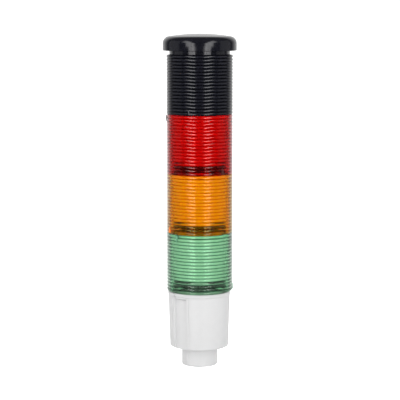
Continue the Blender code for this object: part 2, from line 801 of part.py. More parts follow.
def pole_gasket_mesh():
    low, high = POLE_SOCKET_DEPTH - 0.0010, POLE_SOCKET_DEPTH - GAP
    inner, outer = CABLE_BORE + GAP, POLE_SOCKET_RADIUS - 0.0004
    return revolve([(inner, low), (outer, low), (outer, high), (inner, high)], sides=24)


# ---- assembly -----------------------------------------------------------------------------
def build_base():
    body = group("base")
    white, black = FINISHES["white_plastic"], FINISHES["black_plastic"]
    place("base_housing", housing_mesh(), white, body)
    place("pole_adapter", adapter_mesh(), white, body)
    place("adapter_lock_nut", lock_nut_mesh(), black, body)
    place("pole_gasket", pole_gasket_mesh(), FINISHES["rubber"], body)
    place("set_screw_insert", insert_mesh(), FINISHES["brass"], body)
    place("terminal_carrier", carrier_mesh(), white, body)
    place("base_seal", seal_mesh(BASE_TOP), FINISHES["rubber"], body)
    place("base_contact_plate", base_contact_mesh(), FINISHES["board"], body)
    board = rod(TERMINAL_BOARD_RADIUS, TERMINAL_BOARD_LOW, TERMINAL_BOARD_HIGH, sides=24)
    place("terminal_board", board, FINISHES["board"], body)
    place("terminal_block", terminal_block_mesh(), FINISHES["contact_plastic"], body)
    screw = carrier_screw_mesh()
    for i, azimuth in enumerate(CARRIER_SCREW_AZIMUTHS, start=1):
        at = polar(CARRIER_SCREW_CIRCLE, azimuth)
        place(f"carrier_screw_{i}", screw, FINISHES["steel"], body, at)
    clamp = terminal_screw_mesh()
    clamp_height = TERMINAL_TOP - TERMINAL_BLOCK[2] / 2 + 0.0010
    for i, x in enumerate(row_of(PIN_COUNT, TERMINAL_PITCH), start=1):
        place(f"terminal_screw_{i}", clamp, FINISHES["steel"], body, (x, 0.0, clamp_height))
    cover = group("cable_exit", parent=body)
    place("cable_exit_cover", cover_mesh(), white, cover)
    clamp_axis = group("set_screw_axis", parent=body)
    place("pole_set_screw", set_screw_mesh(), FINISHES["steel"], clamp_axis)
    return body


def build_sounder(parent, shared):
    body = group("sounder", MODULE_HEIGHT, parent)
    black = FINISHES["black_plastic"]
    place("sounder_housing", sounder_housing_mesh(), black, body)
    place("sounder_foot", shared["foot"], black, body)
    place("sounder_contact_pins", shared["pins"], FINISHES["contact_plastic"], body)
    place("sounder_board", rod(0.0220, 0.0130, 0.0146, sides=24), FINISHES["board"], body)
    place("buzzer_capsule", buzzer_capsule_mesh(), black, body, (-0.0070, 0.0, 0.0))
    trimmer = box((0.0080, 0.0080, 0.0045), (0, 0, 0.01715))
    place("trimmer_body", trimmer, FINISHES["contact_plastic"], body, SPINDLE_PLACE)
    ceiling = MODULE_HEIGHT - HALF_GAP - ROOF_THICKNESS - GAP
    membrane = revolve(
        [(0.0200, ceiling - 0.0004), (0.0266, ceiling - 0.0004), (0.0266, ceiling), (0.0200, ceiling)]
    )
    place("sound_membrane", membrane, FINISHES["fabric"], body)
    spindle_axis = group("volume_axis", parent=body, location=SPINDLE_PLACE)
    place("volume_spindle", spindle_mesh(), FINISHES["brass"], spindle_axis)
    cap = group("cap", MODULE_HEIGHT, body)
    place("top_cap", cap_mesh(), black, cap)


def build():
    for item in list(bpy.data.objects):
        bpy.data.objects.remove(item)
    FINISHES.update(
        white_plastic=material("white_plastic", (0.80, 0.80, 0.80), 0.38),
        black_plastic=material("black_plastic", (0.012, 0.012, 0.015), 0.22),
        red_lens=material("red_lens", (0.55, 0.008, 0.004), 0.10),
        amber_lens=material("amber_lens", (0.85, 0.22, 0.002), 0.10),
        green_lens=material("green_lens", (0.16, 0.50, 0.26), 0.10),
        diffuser=material("diffuser", (0.85, 0.85, 0.84), 0.60),
        board=material("board", (0.03, 0.16, 0.07), 0.45),
        led=material("led", (0.90, 0.85, 0.55), 0.30),
        contact_plastic=material("contact_plastic", (0.05, 0.05, 0.06), 0.50),
        rubber=material("rubber", (0.02, 0.02, 0.02), 0.80),
        brass=material("brass", (0.70, 0.50, 0.22), 0.30, 1.0),
        steel=material("steel", (0.60, 0.60, 0.62), 0.30, 1.0),
        fabric=material("fabric", (0.10, 0.10, 0.10), 0.90),
    )
    shared = dict(
        diffuser=diffuser_mesh(),
        foot=foot_mesh(),
        seal=seal_mesh(MODULE_HEIGHT),
        pins=contact_pins_mesh(),
        plate=contact_plate_mesh(MODULE_HEIGHT),
        board=led_board_mesh(),
        leds=led_strip_mesh(),
    )
    base = build_base()
    green = light_module(
        "green", GREEN_FLOOR, base, FINISHES["green_lens"], (-43.6, 90.0), shared
    )
    amber = light_module(
        "amber", AMBER_FLOOR - GREEN_FLOOR, green, FINISHES["amber_lens"], (161.4, -65.0), shared
    )
    red = light_module(
        "red", RED_FLOOR - AMBER_FLOOR, amber, FINISHES["red_lens"], (-90.0, 43.6), shared
    )
    build_sounder(red, shared)


FINISHES = {}
build()
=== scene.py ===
"""Looks for the signal tower: ribbed lenses, glossy shells, materials, studio light and camera.

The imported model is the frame. Pieces here replace the CAD shells that show, at the same
places and sizes, and ride on the same bodies. Azimuths are degrees round from the front
(-Y) towards +X.
"""

import json
import math

import bmesh
import bpy
from mathutils import Matrix, Vector

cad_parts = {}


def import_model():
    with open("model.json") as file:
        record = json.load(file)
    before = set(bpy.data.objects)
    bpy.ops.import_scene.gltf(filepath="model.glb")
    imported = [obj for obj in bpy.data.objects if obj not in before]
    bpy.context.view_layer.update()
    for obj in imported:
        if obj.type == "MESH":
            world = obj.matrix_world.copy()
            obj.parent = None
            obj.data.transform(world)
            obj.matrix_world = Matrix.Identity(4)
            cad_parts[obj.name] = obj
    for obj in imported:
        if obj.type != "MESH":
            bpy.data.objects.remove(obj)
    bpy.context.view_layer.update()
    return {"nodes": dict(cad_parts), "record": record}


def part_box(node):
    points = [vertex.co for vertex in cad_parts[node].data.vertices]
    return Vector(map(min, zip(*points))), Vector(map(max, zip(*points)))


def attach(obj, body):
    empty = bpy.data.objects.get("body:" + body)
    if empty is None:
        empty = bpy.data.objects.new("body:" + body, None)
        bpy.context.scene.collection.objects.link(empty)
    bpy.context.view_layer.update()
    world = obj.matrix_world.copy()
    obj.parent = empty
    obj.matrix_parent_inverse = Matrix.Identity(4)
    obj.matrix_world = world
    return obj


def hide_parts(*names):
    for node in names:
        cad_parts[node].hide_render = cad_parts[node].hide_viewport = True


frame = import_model()
NODES = frame["nodes"]

# ---- sizes, in metres -----------------------------------------------------------------------
GAP = 0.0003  # between pieces that meet
HALF_GAP = GAP / 2
FINE = 144  # sides of the round pieces that show
SHARP_ANGLE = math.radians(40)

# each module's ribbed wall and its roof
CREST_RADIUS = 0.0301
RIB_COUNT = 18
RIB_DEPTH = 0.0009
RIB_STEPS = 8  # faces up each rib
LENS_INNER_RADIUS = 0.0274
WALL_EXTRA = 0.0001  # the lens walls reach this much further at both ends
ROOF_THICKNESS = 0.0020
SEAL_GROOVE = (0.0225, 0.0247)
SEAL_GROOVE_DEPTH = 0.0010
MARK_HEIGHT, MARK_MARGIN = 0.0056, 0.0006  # a raised arrow, and its distance from the edge

# the bayonet: heights are over the joint plane, in the middle of the gap between two modules
CROWN_RADIUS, CROWN_BORE, CROWN_RISE = 0.0206, 0.0190, 0.0065
LUG_RADIUS, LUG_LOW, LUG_HIGH = 0.0224, 0.0040, 0.0058
LUG_AZIMUTHS = (0.0, 120.0, 240.0)
LUG_SPREAD = 7.0  # degrees either side of a lug's azimuth
SOCKET_BORE, SOCKET_OUTER = 0.0228, 0.0242
SOCKET_LOW, SOCKET_CEILING, SOCKET_TOP = 0.0010, 0.0076, 0.0090
LEDGE_BORE, LEDGE_TOP = 0.0210, 0.0036
LEDGE_START, STOP_START, STOP_END = -9.0, 8.0, 12.0  # degrees from a lug's azimuth
OVERLAP = 0.0002  # how far joined parts reach into each other
CONTACT_SLOT = (0.0266, 0.0106, 0.0050)
ARM_REACH, ARM_WIDTH, ARM_THICKNESS = 0.0269, 0.0050, 0.0016
ARM_AZIMUTHS = (60.0, 180.0, 300.0)


# ---- shape tools ----------------------------------------------------------------------------
def polar(radius, azimuth, z=0.0):
    turn = math.radians(azimuth)
    return Vector((radius * math.sin(turn), -radius * math.cos(turn), z))


def smoothed(mesh):
    mesh.shade_smooth()
    mesh.set_sharp_from_angle(angle=SHARP_ANGLE)
    return mesh


def finished(bm):
    bmesh.ops.recalc_face_normals(bm, faces=bm.faces)
    mesh = bpy.data.meshes.new("shape")
    bm.to_mesh(mesh)
    bm.free()
    return smoothed(mesh)


def revolve(profile, sides=FINE):
    """A (radius, z) outline turned about Z. One that starts and ends at radius 0 is closed there."""
    bm = bmesh.new()
    points = [point for point in profile if point[0] > 0]
    rings = [[bm.verts.new(polar(r, 360 * i / sides, z)) for i in range(sides)] for r, z in points]
    is_ring = len(points) == len(profile)
    pairs = list(zip(rings, rings[1:] + rings[:1]))
    for ring, following in pairs if is_ring else pairs[:-1]:
        for i in range(sides):
            j = (i + 1) % sides
            bm.faces.new([ring[i], ring[j], following[j], following[i]])
    if not is_ring:
        bm.faces.new(rings[0])
        bm.faces.new(rings[-1])
    return finished(bm)


def prism(outline, low, high):
    """An (x, y) outline drawn out along Z."""
    bm = bmesh.new()
    base = bm.faces.new([bm.verts.new((x, y, low)) for x, y in outline])
    made = bmesh.ops.extrude_face_region(bm, geom=[base])["geom"]
    top = [v for v in made if isinstance(v, bmesh.types.BMVert)]
    bmesh.ops.translate(bm, verts=top, vec=(0, 0, high - low))
    return finished(bm)


def moved(mesh, offset=(0.0, 0.0, 0.0), azimuth=0.0, tilt=None):
    """The same mesh, tilted, then shifted, then turned about Z."""
    if tilt is not None:
        mesh.transform(tilt)
    mesh.transform(Matrix.Rotation(math.radians(azimuth), 4, "Z") @ Matrix.Translation(offset))
    return mesh


def box(size, centre, azimuth=0.0):
    x, y, z = (side / 2 for side in size)
    return moved(prism([(-x, -y), (x, -y), (x, y), (-x, y)], -z, z), centre, azimuth)


def radial_box(width, inner, outer, low, high, azimuth):
    """A box that reaches outwards from inner to outer at this azimuth."""
    size = (width, outer - inner, high - low)
    return box(size, (0, -(inner + outer) / 2, (low + high) / 2), azimuth)


def rod(radius, low, high, centre=(0.0, 0.0, 0.0)):
    outline = [(0, low), (radius, low), (radius, high), (0, high)]
    return moved(revolve(outline, sides=32), centre)


def lie_along_y(mesh, height):
    """An upright mesh laid down towards the back, at this height."""
    return moved(mesh, (0.0, 0.0, height), tilt=Matrix.Rotation(math.radians(-90), 4, "X"))


def arc_block(inner, outer, low, high, start, end, steps=8):
    """A part of a ring, from one azimuth to another."""
    azimuths = [start + (end - start) * i / steps for i in range(steps + 1)]
    outline = [polar(outer, a).xy for a in azimuths]
    outline += [polar(inner, a).xy for a in reversed(azimuths)]
    return prism(outline, low, high)


def gathered(meshes):
    """All these meshes as one. They aren't fused."""
    bm = bmesh.new()
    for mesh in meshes:
        bm.from_mesh(mesh)
        bpy.data.meshes.remove(mesh)
    return finished(bm)


def carved(mesh, *steps):
    """The mesh after Booleans. Each step is an operation and its tool mesh."""
    body = bpy.data.objects.new("carving", mesh)
    bpy.context.scene.collection.objects.link(body)
    tools = []
    for operation, tool_mesh in steps:
        tool = bpy.data.objects.new("tool", tool_mesh)
        bpy.context.scene.collection.objects.link(tool)
        tools.append(tool)
        modifier = body.modifiers.new(operation.lower(), "BOOLEAN")
        modifier.operation = operation
        modifier.solver = "EXACT"
        modifier.object = tool
    bpy.context.view_layer.update()
    evaluated = body.evaluated_get(bpy.context.evaluated_depsgraph_get())
    result = bpy.data.meshes.new_from_object(evaluated)
    for helper in [body, *tools]:
        bpy.data.objects.remove(helper)
    return smoothed(result)


def bevelled(mesh, offset, above=-math.inf):
    """The mesh with its edges rounded off, or only those that lie wholly above this height."""
    bm = bmesh.new()
    bm.from_mesh(mesh)
    bpy.data.meshes.remove(mesh)
    edges = [e for e in bm.edges if min(v.co.z for v in e.verts) > above]
    bmesh.ops.bevel(bm, geom=edges, offset=offset, segments=2, affect="EDGES", profile=0.5)
    return finished(bm)


def rounded(corner, radius, start, end, steps=5):
    """Points on a quarter turn or so about corner, from start to end degrees above outwards."""
    x, z = corner
    turns = [math.radians(start + (end - start) * i / steps) for i in range(steps + 1)]
    return [(x + radius * math.cos(t), z + radius * math.sin(t)) for t in turns]


def ribs(low, high, crest):
    """Points up the outside of a ribbed shell. Each rib is a convex arc, grooves are sharp."""
    pitch = (high - low) / RIB_COUNT
    arc = (pitch * pitch / 4 + RIB_DEPTH * RIB_DEPTH) / (2 * RIB_DEPTH)
    points = []
    for i in range(RIB_COUNT):
        middle = low + (i + 0.5) * pitch
        for k in range(RIB_STEPS):
            z = -pitch / 2 + pitch * k / RIB_STEPS
            points.append((crest - arc + math.sqrt(arc * arc - z * z), middle + z))
    points.append((crest - RIB_DEPTH, high))
    return points


# ---- material tools -------------------------------------------------------------------------
CLARITY = 0.985  # share of the light that goes through a lens; the rest scatters at its surface
GROOVE_SHADE_GLOSS = 0.1  # gloss left in the grooves, as a share of the crests': painted shade in the reflections
SCUFF_SCALE = 2.6  # how much finer the scuffs are than the drift in colour
SCUFF_RANGE = (0.85, 1.2)  # least and most roughness, as shares of the usual one
GRAIN_STRENGTH = 0.35


def plain(name, colour, roughness, **sockets):
    made = bpy.data.materials.new(name)
    made.use_nodes = True
    shader = made.node_tree.nodes["Principled BSDF"]
    shader.inputs["Base Color"].default_value = (*colour, 1.0)
    shader.inputs["Roughness"].default_value = roughness
    for socket, value in sockets.items():
        shader.inputs[socket.replace("_", " ")].default_value = value
    return made


def noise(tree, scale, detail):
    """A noise texture's value in object space, scale in features per metre."""
    place = tree.nodes.new("ShaderNodeTexCoord")
    texture = tree.nodes.new("ShaderNodeTexNoise")
    texture.inputs["Scale"].default_value = scale
    texture.inputs["Detail"].default_value = detail
    tree.links.new(place.outputs["Object"], texture.inputs["Vector"])
    return texture.outputs["Fac"]


def ranged(tree, value, begin, end, low, high, interpolation="LINEAR"):
    """Goes from low to high as the value goes from begin to end."""
    ramp = tree.nodes.new("ShaderNodeMapRange")
    ramp.interpolation_type = interpolation
    for socket, limit in zip(("From Min", "From Max", "To Min", "To Max"), (begin, end, low, high)):
        ramp.inputs[socket].default_value = limit
    tree.links.new(value, ramp.inputs["Value"])
    return ramp.outputs["Result"]


def spread(tree, value, low, high):
    """A noise value, mostly 0.3 to 0.7, stretched over low to high."""
    return ranged(tree, value, 0.3, 0.7, low, high)


def between(tree, value, first, second):
    """A colour that varies from first to second with a noise value."""
    mix = tree.nodes.new("ShaderNodeMix")
    mix.data_type = "RGBA"
    mix.inputs["A"].default_value = (*first, 1.0)
    mix.inputs["B"].default_value = (*second, 1.0)
    tree.links.new(spread(tree, value, 0.0, 1.0), mix.inputs["Factor"])
    return mix.outputs["Result"]


def groove_shade_mask(tree, full, gone):
    """Where the painted shade goes: 1 in the grooves between ribs, 0 on the crests and on everything
    further in.

    It goes by the radius: 0 is a rib's depth under the grooves, 1 is at the crests. The mask
    is full up to one value and gone at another.
    """
    place = tree.nodes.new("ShaderNodeTexCoord")
    flat = tree.nodes.new("ShaderNodeVectorMath")
    flat.operation = "MULTIPLY"
    flat.inputs[1].default_value = (1.0, 1.0, 0.0)
    length = tree.nodes.new("ShaderNodeVectorMath")
    length.operation = "LENGTH"
    tree.links.new(place.outputs["Object"], flat.inputs[0])
    tree.links.new(flat.outputs["Vector"], length.inputs[0])
    inside = CREST_RADIUS - 2 * RIB_DEPTH
    reach = ranged(tree, length.outputs["Value"], inside, CREST_RADIUS, 0.0, 1.0)
    ramp = tree.nodes.new("ShaderNodeValToRGB")
    black, white = (0, 0, 0, 1), (1, 1, 1, 1)
    stops = ramp.color_ramp.elements
    stops[0].position, stops[0].color = 0.25, black
    stops[1].position, stops[1].color = gone, black
    stops.new(0.45).color = white
    stops.new(full).color = white
    tree.links.new(reach, ramp.inputs["Fac"])
    return ramp.outputs["Color"]


def moulded(name, colour, roughness, variation, patch=180.0, grain=9000.0, height=0.000004,
            groove=None, groove_shade_reach=(0.58, 0.92), **sockets):
    """Moulded plastic: colour and gloss drift slowly, over a fine grain in the surface.

    A darker groove colour takes over between the ribs as painted shade, and the gloss fades there too,
    as painted shade in the reflections.
    """
    made = plain(name, colour, roughness, **sockets)
    tree = made.node_tree
    shader = tree.nodes["Principled BSDF"]
    darker = [c * (1 - variation) for c in colour]
    lighter = [min(1.0, c * (1 + variation)) for c in colour]
    tint = between(tree, noise(tree, patch, 4.0), darker, lighter)
    if groove:
        # painted shade: the groove colour and a fade in the gloss, laid on by the mask
        mask = groove_shade_mask(tree, *groove_shade_reach)
        mix = tree.nodes.new("ShaderNodeMix")
        mix.data_type = "RGBA"
        mix.inputs["B"].default_value = (*groove, 1.0)
        tree.links.new(mask, mix.inputs["Factor"])
        tree.links.new(tint, mix.inputs["A"])
        tint = mix.outputs["Result"]
        for gloss in ("Specular IOR Level", "Coat Weight"):
            usual = shader.inputs[gloss].default_value
            faded = ranged(tree, mask, 0.0, 1.0, usual, usual * GROOVE_SHADE_GLOSS)
            tree.links.new(faded, shader.inputs[gloss])
    tree.links.new(tint, shader.inputs["Base Color"])
    scuffs = noise(tree, patch * SCUFF_SCALE, 6.0)
    smoothest, roughest = (roughness * share for share in SCUFF_RANGE)
    tree.links.new(spread(tree, scuffs, smoothest, roughest), shader.inputs["Roughness"])
    if height:
        bump = tree.nodes.new("ShaderNodeBump")
        bump.inputs["Strength"].default_value = GRAIN_STRENGTH
        bump.inputs["Distance"].default_value = height
        tree.links.new(noise(tree, grain, 2.0), bump.inputs["Height"])
        tree.links.new(bump.outputs["Normal"], shader.inputs["Normal"])
    return made


def lens(name, colour, groove):
    """Tinted clear plastic, a little frosted inside and glossy outside, with painted shade in its
    grooves.
    """
    return moulded(
        name, colour, 0.10, 0.02, height=0, groove=groove, groove_shade_reach=(0.66, 0.97),
        Transmission_Weight=CLARITY, IOR=1.25, Coat_Weight=0.8, Coat_Roughness=0.07, Coat_IOR=1.50,
    )


FINISHES = {
    "white_plastic": moulded("white_plastic", (0.552, 0.552, 0.554), 0.42, 0.012, IOR=1.49),
    "black_plastic": moulded("black_plastic", (0.0052, 0.0055, 0.0088), 0.15, 0.10, IOR=1.50),
    # a lighter copy of the cap's black, as painted light on the crests, with its grooves painted near
    # black as shade
    "black_ribs": moulded(
        "black_ribs", (0.0075, 0.0080, 0.0120), 0.12, 0.10, groove=(0.0002, 0.0002, 0.0003), IOR=1.50
    ),
    "socket_plastic": moulded(
        "socket_plastic", (0.003, 0.003, 0.0035), 0.35, 0.10, Specular_IOR_Level=0.3
    ),
    # each lens's second colour is painted shade for its grooves
    "red_lens": lens("red_lens", (0.84, 0.012, 0.006), (0.36, 0.002, 0.001)),
    "amber_lens": lens("amber_lens", (1.0, 0.60, 0.002), (0.66, 0.11, 0.001)),
    "green_lens": lens("green_lens", (0.63, 0.92, 0.69), (0.04, 0.17, 0.09)),
    "red_roof": moulded("red_roof", (0.92, 0.34, 0.28), 0.45, 0.03),
    "amber_roof": moulded("amber_roof", (1.0, 0.76, 0.34), 0.45, 0.03),
    "green_roof": moulded("green_roof", (0.66, 0.90, 0.74), 0.45, 0.03),
    # the marks are opaque and darker than the clear lenses they are part of: painted shade, where light
    # is refracted away from them
    "red_mark": moulded("red_mark", (0.05, 0.004, 0.004), 0.30, 0.05, IOR=1.50),
    "amber_mark": moulded("amber_mark", (0.80, 0.20, 0.015), 0.20, 0.05, IOR=1.50),
    "green_mark": moulded("green_mark", (0.12, 0.31, 0.19), 0.20, 0.05, IOR=1.50),
    "diffuser": moulded("diffuser", (0.95, 0.95, 0.945), 0.50, 0.01),
    "board": moulded("board", (0.02, 0.13, 0.055), 0.38, 0.12, patch=900.0),
    "led": moulded("led", (0.88, 0.84, 0.55), 0.28, 0.05, patch=1500.0),
    "contact_plastic": moulded("contact_plastic", (0.035, 0.035, 0.04), 0.45, 0.10),
    "rubber": moulded("rubber", (0.50, 0.50, 0.49), 0.60, 0.05, grain=14000.0, height=0.00001),
    "brass": moulded("brass", (0.78, 0.57, 0.27), 0.28, 0.05, Metallic=1.0),
    "steel": moulded("steel", (0.62, 0.63, 0.66), 0.30, 0.05, Metallic=1.0),
    "fabric": moulded("fabric", (0.06, 0.06, 0.06), 0.85, 0.25, patch=2500.0),
}


# ---- placing --------------------------------------------------------------------------------
def piece(name, mesh, finish, body, slot, *nodes):
    """A piece that stands for these CAD nodes, rides on a body and takes a finish."""
    made = bpy.data.objects.new(name, mesh)
    bpy.context.scene.collection.objects.link(made)
    mesh.materials.clear()
    mesh.materials.append(FINISHES[finish])
    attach(made, body)
    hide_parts(*nodes)


def refinish_nodes():
    """The CAD nodes that stay in view get the procedural finish of their record's slot."""
    for entry in frame["record"]["subparts"]:
        node = NODES[entry["node"]]
        node.data.materials.clear()
        node.data.materials.append(FINISHES[entry["material_slot"]])


# ---- the bayonet ----------------------------------------------------------------------------
def lugs(joint_plane):
    low, high = joint_plane + LUG_LOW, joint_plane + LUG_HIGH
    inner = CROWN_RADIUS - OVERLAP
    return [
        arc_block(inner, LUG_RADIUS, low, high, a - LUG_SPREAD, a + LUG_SPREAD) for a in LUG_AZIMUTHS
    ]


def catches(floor):
    """Ledges that hook under the lugs, each with its stop."""
    inner, outer = LEDGE_BORE, SOCKET_BORE + OVERLAP
    low, ledge_top, ceiling = floor + SOCKET_LOW, floor + LEDGE_TOP, floor + SOCKET_CEILING
    made = []
    for a in LUG_AZIMUTHS:
        made.append(arc_block(inner, outer, low, ledge_top, a + LEDGE_START, a + STOP_START))
        made.append(arc_block(inner, outer, low, ceiling, a + STOP_START, a + STOP_END, 3))
    return made


def socket_mesh(floor):
    """The black socket at the foot of a module, with its snap arms and contact slot."""
    low, ceiling, top = floor + SOCKET_LOW, floor + SOCKET_CEILING, floor + SOCKET_TOP
    chamfer = 0.0004
    shell = revolve(
        [
            (0, ceiling),
            (SOCKET_BORE, ceiling),
            (SOCKET_BORE, low),
            (SOCKET_OUTER, low),
            (SOCKET_OUTER, top - chamfer),
            (SOCKET_OUTER - chamfer, top),
            (0, top),
        ]
    )
    slot = box(CONTACT_SLOT, (0, 0, ceiling))
    body = carved(shell, ("DIFFERENCE", slot))
    arms = [
        radial_box(ARM_WIDTH, SOCKET_OUTER - OVERLAP, ARM_REACH, low, low + ARM_THICKNESS, a)
        for a in ARM_AZIMUTHS
    ]
    return gathered([body, *catches(floor), *arms])


def seal_mesh(joint_plane):
    """A round-cornered rubber ring in the roof's groove."""
    low, high = joint_plane - 0.00085, joint_plane + 0.0007
    inner, outer, corner = 0.0228, 0.0244, 0.0004
    outline = rounded((inner + corner, low + corner), corner, 270, 180, 3)
    outline += rounded((inner + corner, high - corner), corner, 180, 90, 3)
    outline += rounded((outer - corner, high - corner), corner, 90, 0, 3)
    outline += rounded((outer - corner, low + corner), corner, 0, -90, 3)
    return revolve(outline, sides=96)


# ---- light modules --------------------------------------------------------------------------
def mark_mesh(azimuth, low, points_up, crest):
    """A raised arrow on a crest, with its outer edges rounded off."""
    half, rise, depth = 0.0019, 0.0004, 0.0012
    tip, foot = (MARK_HEIGHT, 0.0) if points_up else (0.0, MARK_HEIGHT)
    arrow = prism([(-half, foot), (half, foot), (0.0, tip)], 0.0, rise + depth)
    arrow = bevelled(arrow, 0.0003, above=rise)
    upright = Matrix.Rotation(math.radians(90), 4, "X")
    return moved(arrow, (0.0, -(crest - depth), low), azimuth, tilt=upright)


def wall_mesh(low, high, crest):
    """The lens's wall: ribbed outside, plain inside."""
    outline = ribs(low, high, crest)
    outline += [(LENS_INNER_RADIUS, high), (LENS_INNER_RADIUS, low)]
    return revolve(outline)


def roof_mesh(high):
    """The roof inside the wall, with its seal groove, and the crown with its lugs."""
    joint_plane = high + HALF_GAP
    inner_groove, outer_groove = SEAL_GROOVE
    edge = LENS_INNER_RADIUS - 0.00005
    outline = [
        (edge, high),
        (outer_groove, high),
        (outer_groove, high - SEAL_GROOVE_DEPTH),
        (inner_groove, high - SEAL_GROOVE_DEPTH),
        (inner_groove, high),
        (CROWN_RADIUS, high),
        (CROWN_RADIUS, joint_plane + CROWN_RISE),
        (CROWN_BORE, joint_plane + CROWN_RISE),
        (CROWN_BORE, high - ROOF_THICKNESS),
        (edge, high - ROOF_THICKNESS),
    ]
    return gathered([revolve(outline), *lugs(joint_plane)])


def painted_rim_light_mesh(floor):
    """A thin pale band round the socket's foot, painted light: the bright rim where light comes through
    the lens's lowest rib.
    """
    low, high, thickness = floor + SOCKET_LOW, floor + 0.0031, 0.00015
    return revolve(
        [
            (SOCKET_OUTER, low),
            (SOCKET_OUTER + thickness, low),
            (SOCKET_OUTER + thickness, high),
            (SOCKET_OUTER, high),
        ]
    )


def tube_mesh(low, high):
    """The frosted tube, between the corners of its CAD box."""
    inner, outer, chamfer = 0.0226, high.x, 0.0003
    return revolve(
        [
            (inner, low.z),
            (outer - chamfer, low.z),
            (outer, low.z + chamfer),
            (outer, high.z - chamfer),
            (outer - chamfer, high.z),
            (inner, high.z),
        ]
    )


def light_module(colour, top_mark, bottom_mark):
    """One module's pieces, with its upper and lower arrow at these azimuths."""
    node_low, node_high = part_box(f"{colour}_lens")
    crest = node_high.y
    low = node_low.z
    high = node_high.z - CROWN_RISE - HALF_GAP
    floor = low - HALF_GAP
    body = f"{colour}_module"
    marks = [
        mark_mesh(top_mark, high - MARK_HEIGHT - MARK_MARGIN, False, crest),
        mark_mesh(bottom_mark, low + MARK_MARGIN, True, crest),
    ]
    lens_slot = f"{colour}_lens"
    wall = wall_mesh(low - WALL_EXTRA, high + WALL_EXTRA, crest)
    piece(f"{colour}_ribbed_lens", wall, lens_slot, body, lens_slot, lens_slot)
    piece(f"{colour}_marks", gathered(marks), f"{colour}_mark", body, lens_slot, lens_slot)
    piece(f"{colour}_lens_roof", roof_mesh(high), f"{colour}_roof", body, lens_slot, lens_slot)
    # painted light: the band takes the roof's pale finish, for the bright rim low on the lens
    band = painted_rim_light_mesh(floor)
    piece(f"{colour}_foot_painted_rim_light", band, f"{colour}_roof", body, lens_slot, f"{colour}_foot")
    socket = socket_mesh(floor)
    piece(f"{colour}_socket", socket, "socket_plastic", body, "black_plastic", f"{colour}_foot")
    tube = tube_mesh(*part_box(f"{colour}_diffuser"))
    piece(f"{colour}_inner_tube", tube, "diffuser", body, "diffuser", f"{colour}_diffuser")
    ring = seal_mesh(high + HALF_GAP)
    piece(f"{colour}_seal_ring", ring, "rubber", body, "rubber", f"{colour}_seal")


# ---- sounder and cap ------------------------------------------------------------------------
SOUNDER_MARK_AZIMUTH = -19.6
DOME_RISE = 0.0022  # from the cap's shoulder to its top
DOME_STEPS = 9


def sounder():
    """The black ribbed shell with the neck that the cap closes over, and its socket."""
    node_low, node_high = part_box("sounder_housing")
    low = node_low.z
    high = node_high.z - CROWN_RISE - HALF_GAP
    joint_plane = high + HALF_GAP
    crest = node_high.x
    neck, neck_wall, neck_top, fillet = 0.0275, 0.0020, joint_plane + 0.0060, 0.0004
    outline = ribs(low, high, crest)
    outline += [
        (neck + fillet, high),
        (neck, high + fillet),
        (neck, neck_top),
        (neck - neck_wall, neck_top),
        (neck - neck_wall, high),
        (CROWN_RADIUS, high),
        (CROWN_RADIUS, joint_plane + CROWN_RISE),
        (CROWN_BORE, joint_plane + CROWN_RISE),
        (CROWN_BORE, high - ROOF_THICKNESS),
        (LENS_INNER_RADIUS, high - ROOF_THICKNESS),
        (LENS_INNER_RADIUS, low),
    ]
    mark = mark_mesh(SOUNDER_MARK_AZIMUTH, low + MARK_MARGIN, True, crest)
    shell = gathered([revolve(outline), *lugs(joint_plane), mark])
    piece("sounder_ribbed_shell", shell, "black_ribs", "sounder", "black_plastic", "sounder_housing")
    socket = socket_mesh(low - HALF_GAP)
    piece("sounder_socket", socket, "socket_plastic", "sounder", "black_plastic", "sounder_foot")


def cap():
    """The cap: a socket inside, round corners outside, and a top that domes a little."""
    node_low, node_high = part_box("top_cap")
    radius, low, top = node_high.x, node_low.z, node_high.z
    rim = low + 0.0024
    corner, wall, rim_round = 0.0066, 0.0021, 0.0005
    shoulder = top - DOME_RISE
    ceiling = shoulder - wall
    outline = [
        (0, ceiling),
        (SOCKET_BORE, ceiling),
        (SOCKET_BORE, low),
        (SOCKET_OUTER, low),
        (SOCKET_OUTER, ceiling),
        (radius - corner, ceiling),
        (radius - wall, shoulder - corner),
        (radius - wall, rim),
    ]
    outline += rounded((radius - rim_round, rim + rim_round), rim_round, -90, 0, 3)
    outline += rounded((radius - corner, shoulder - corner), corner, 0, 82, 12)
    edge_radius, edge_z = outline[-1]
    for i in range(1, DOME_STEPS):
        r = edge_radius * (1 - i / DOME_STEPS)
        outline.append((r, top - (top - edge_z) * (r / edge_radius) ** 2))
    outline.append((0, top))
    shell = gathered([revolve(outline), *catches(low - SOCKET_LOW)])
    piece("domed_cap", shell, "black_plastic", "cap", "black_plastic", "top_cap")


# ---- base -----------------------------------------------------------------------------------
COVER_AZIMUTH = -40.0
COVER_SEAT = 0.0243  # from the axis to the flat floor of the cover's recess
COVER_FACE = 0.0254  # from the axis to the cover's flat face
COVER_HALF_WIDTH = 0.0066
RECESS_REACH = 0.0320  # past the wall's outside
RIDGE_WIDTH, RIDGE_RISE = 0.0018, 0.0005
RIDGE_END = 0.0006  # bare wall above a ridge
RIDGE_ROOT, PAD_ROOT = 0.0016, 0.0024  # how deep they reach in from their outer faces
BASE_RIDGE_AZIMUTH, ADAPTER_RIDGE_AZIMUTH = -23.5, -42.0
ADAPTER_RIDGE_SHARE = 0.6  # how much of the ridge's rise the adapter's has
PAD_AZIMUTHS, PAD_RISE = (-94.0, -53.0), 0.0010
PAD_STEPS = 24
COUNTERBORE_DEPTH = 0.0008
SCREW_CIRCLE, SCREW_AZIMUTHS = 0.0264, (20.0, 140.0, 260.0)


